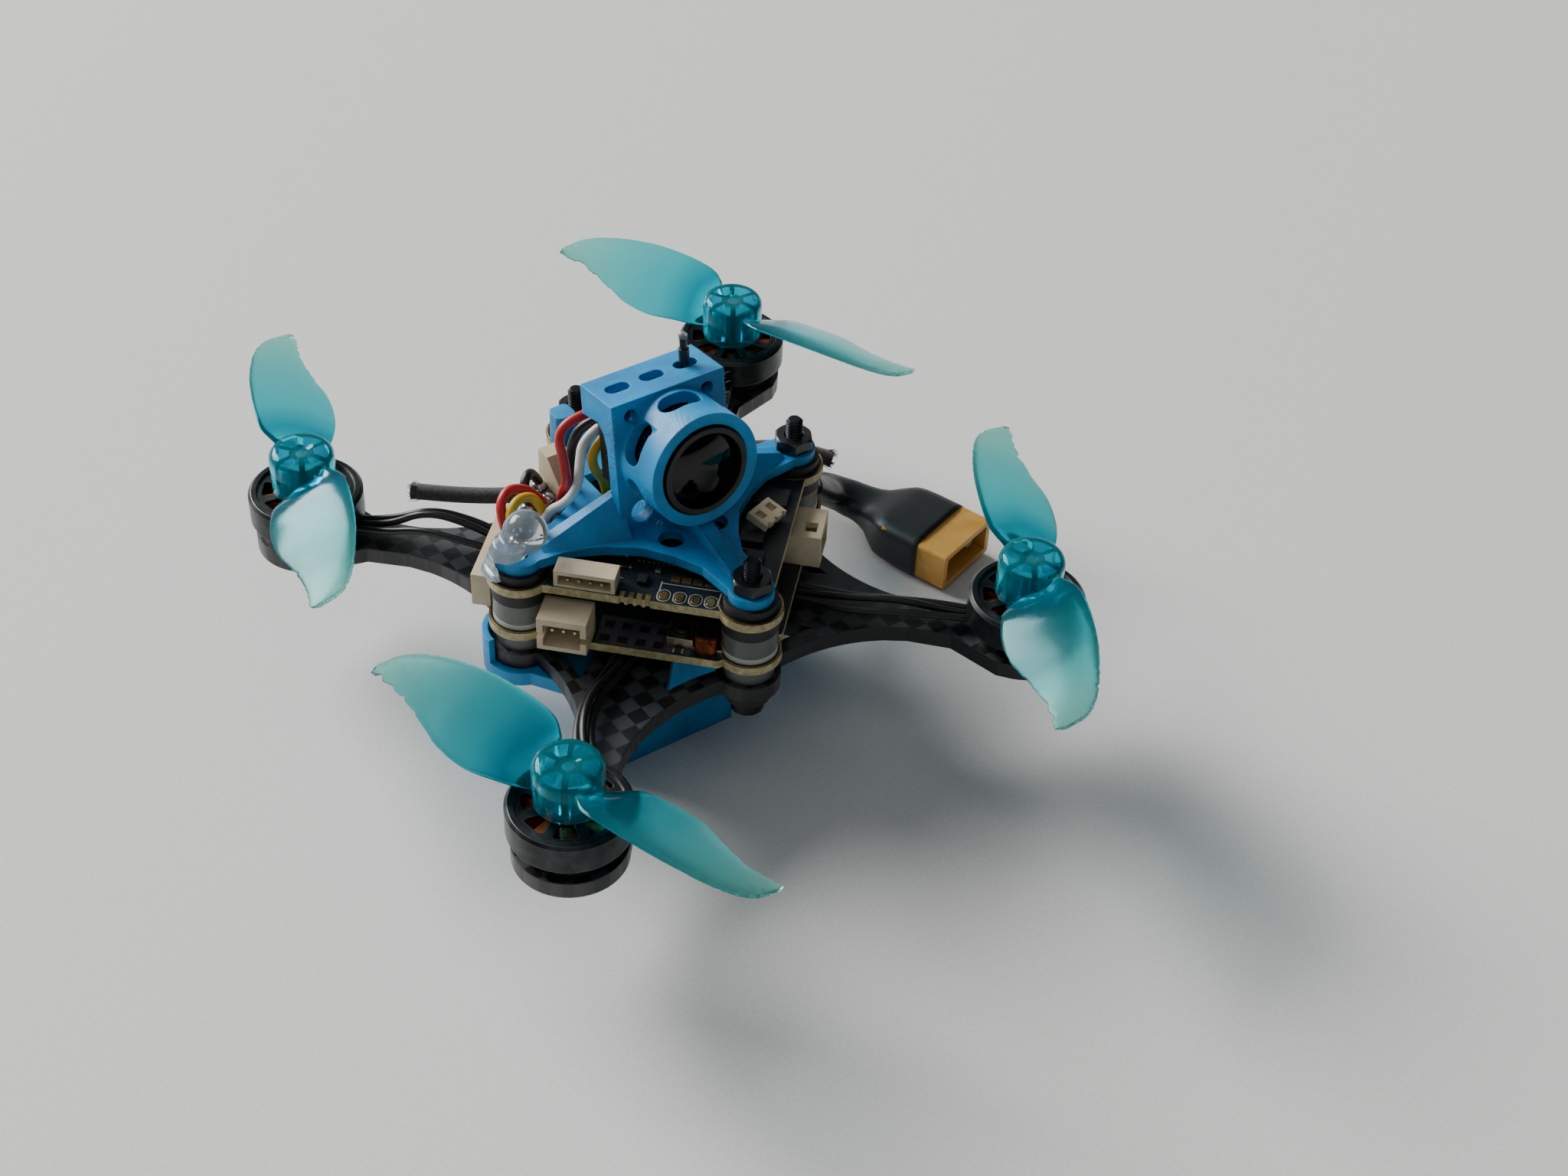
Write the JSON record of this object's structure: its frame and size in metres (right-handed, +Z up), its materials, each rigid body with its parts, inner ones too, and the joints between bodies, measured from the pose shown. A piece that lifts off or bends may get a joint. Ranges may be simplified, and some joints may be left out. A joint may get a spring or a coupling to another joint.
{
  "type": "fpv racing drone",
  "caption": "Small FPV racing drone: carbon X frame, teal propellers, blue printed canopy round a camera, open circuit boards, a printed battery cradle and a power lead with its plug.",
  "frame": {"origin": "middle of the battery cradle's flat underside, where the drone stands", "axes": "-Y is the nose, the way the camera looks; +Z is up, along the motor shafts; +X is the left side"},
  "size_m": [0.0868, 0.1065, 0.0455],
  "materials": {
    "carbon": "matte carbon fibre laminate",
    "blue_print": "printed filament with fine layers",
    "black_steel": "black oxide",
    "black_nylon": "black nylon",
    "black_rubber": "black rubber",
    "milky_silicone": "milky silicone",
    "board_laminate": "black solder mask",
    "chip_black": "black moulding",
    "beige_nylon": "beige moulding",
    "contact_metal": "plated contacts",
    "copper_winding": "enamelled copper",
    "lens_glass": "coated glass",
    "motor_black": "dark anodised",
    "stator_steel": "steel",
    "magnet_metal": "plated magnets",
    "teal_prop": "clear teal polycarbonate",
    "wire_red": "silicone wire",
    "wire_white": "silicone wire",
    "wire_yellow": "silicone wire",
    "wire_black": "silicone wire",
    "black_braid": "woven cover",
    "shrink_black": "heat-shrink sleeve",
    "amber_nylon": "amber nylon",
    "clear_glue": "clear hot glue"
  },
  "bodies": {
    "airframe": {"antenna": "chip_black", "battery_cradle": "blue_print", "board_chips": "chip_black", "boot_switch": "contact_metal", "camera_board": "board_laminate", "camera_case": "chip_black", "camera_socket": "beige_nylon", "canopy": "blue_print", "carbon_frame": "carbon", "elastic_cord": "black_braid", "glue_blob": "clear_glue", "grey_spacers": "milky_silicone", "inductor": "copper_winding", "lead_sleeve": "shrink_black", "lens_barrel": "chip_black", "lens_glass": "lens_glass", "lower_board": "board_laminate", "motor_bases": "motor_black", "motor_bearings": "stator_steel", "motor_screws": "black_steel", "motor_sockets": "beige_nylon", "motor_wires_fl": "wire_black", "motor_wires_fr": "wire_black", "motor_wires_rl": "wire_black", "motor_wires_rr": "wire_black", "plug_housing": "amber_nylon", "plug_pins": "contact_metal", "power_lead_neg": "wire_black", "power_lead_pos": "wire_black", "rear_plug": "beige_nylon", "rubber_rings": "black_rubber", "socket_pins": "contact_metal", "stack_nuts": "black_nylon", "stack_screws": "black_steel", "stator_cores": "stator_steel", "stator_windings": "copper_winding", "tilted_socket": "beige_nylon", "upper_board": "board_laminate", "wire_black": "wire_black", "wire_red": "wire_red", "wire_white": "wire_white", "wire_yellow": "wire_yellow"},
    "rotor_fr": {"bell_fr": "motor_black", "magnets_fr": "magnet_metal", "shaft_fr": "stator_steel", "prop_fr": "teal_prop"},
    "rotor_fl": {"bell_fl": "motor_black", "magnets_fl": "magnet_metal", "shaft_fl": "stator_steel", "prop_fl": "teal_prop"},
    "rotor_rr": {"bell_rr": "motor_black", "magnets_rr": "magnet_metal", "shaft_rr": "stator_steel", "prop_rr": "teal_prop"},
    "rotor_rl": {"bell_rl": "motor_black", "magnets_rl": "magnet_metal", "shaft_rl": "stator_steel", "prop_rl": "teal_prop"},
    "boot_key": {"boot_button": "chip_black"}
  },
  "joints": [
    {"name": "spin_fr", "type": "hinge", "parent": "airframe", "child": "rotor_fr", "pos_m": [-0.02946, -0.02946, 0.0205], "axis": [0, 0, 1], "continuous": true},
    {"name": "spin_fl", "type": "hinge", "parent": "airframe", "child": "rotor_fl", "pos_m": [0.02946, -0.02946, 0.0205], "axis": [0, 0, 1], "continuous": true},
    {"name": "spin_rr", "type": "hinge", "parent": "airframe", "child": "rotor_rr", "pos_m": [-0.02946, 0.02946, 0.0205], "axis": [0, 0, 1], "continuous": true},
    {"name": "spin_rl", "type": "hinge", "parent": "airframe", "child": "rotor_rl", "pos_m": [0.02946, 0.02946, 0.0205], "axis": [0, 0, 1], "continuous": true},
    {"name": "boot_press", "type": "slide", "parent": "airframe", "child": "boot_key", "axis": [0, 0, -1], "range_m": [0, 0.00025], "stiffness_N_per_m": 400, "springref_m": -0.0002}
  ]
}
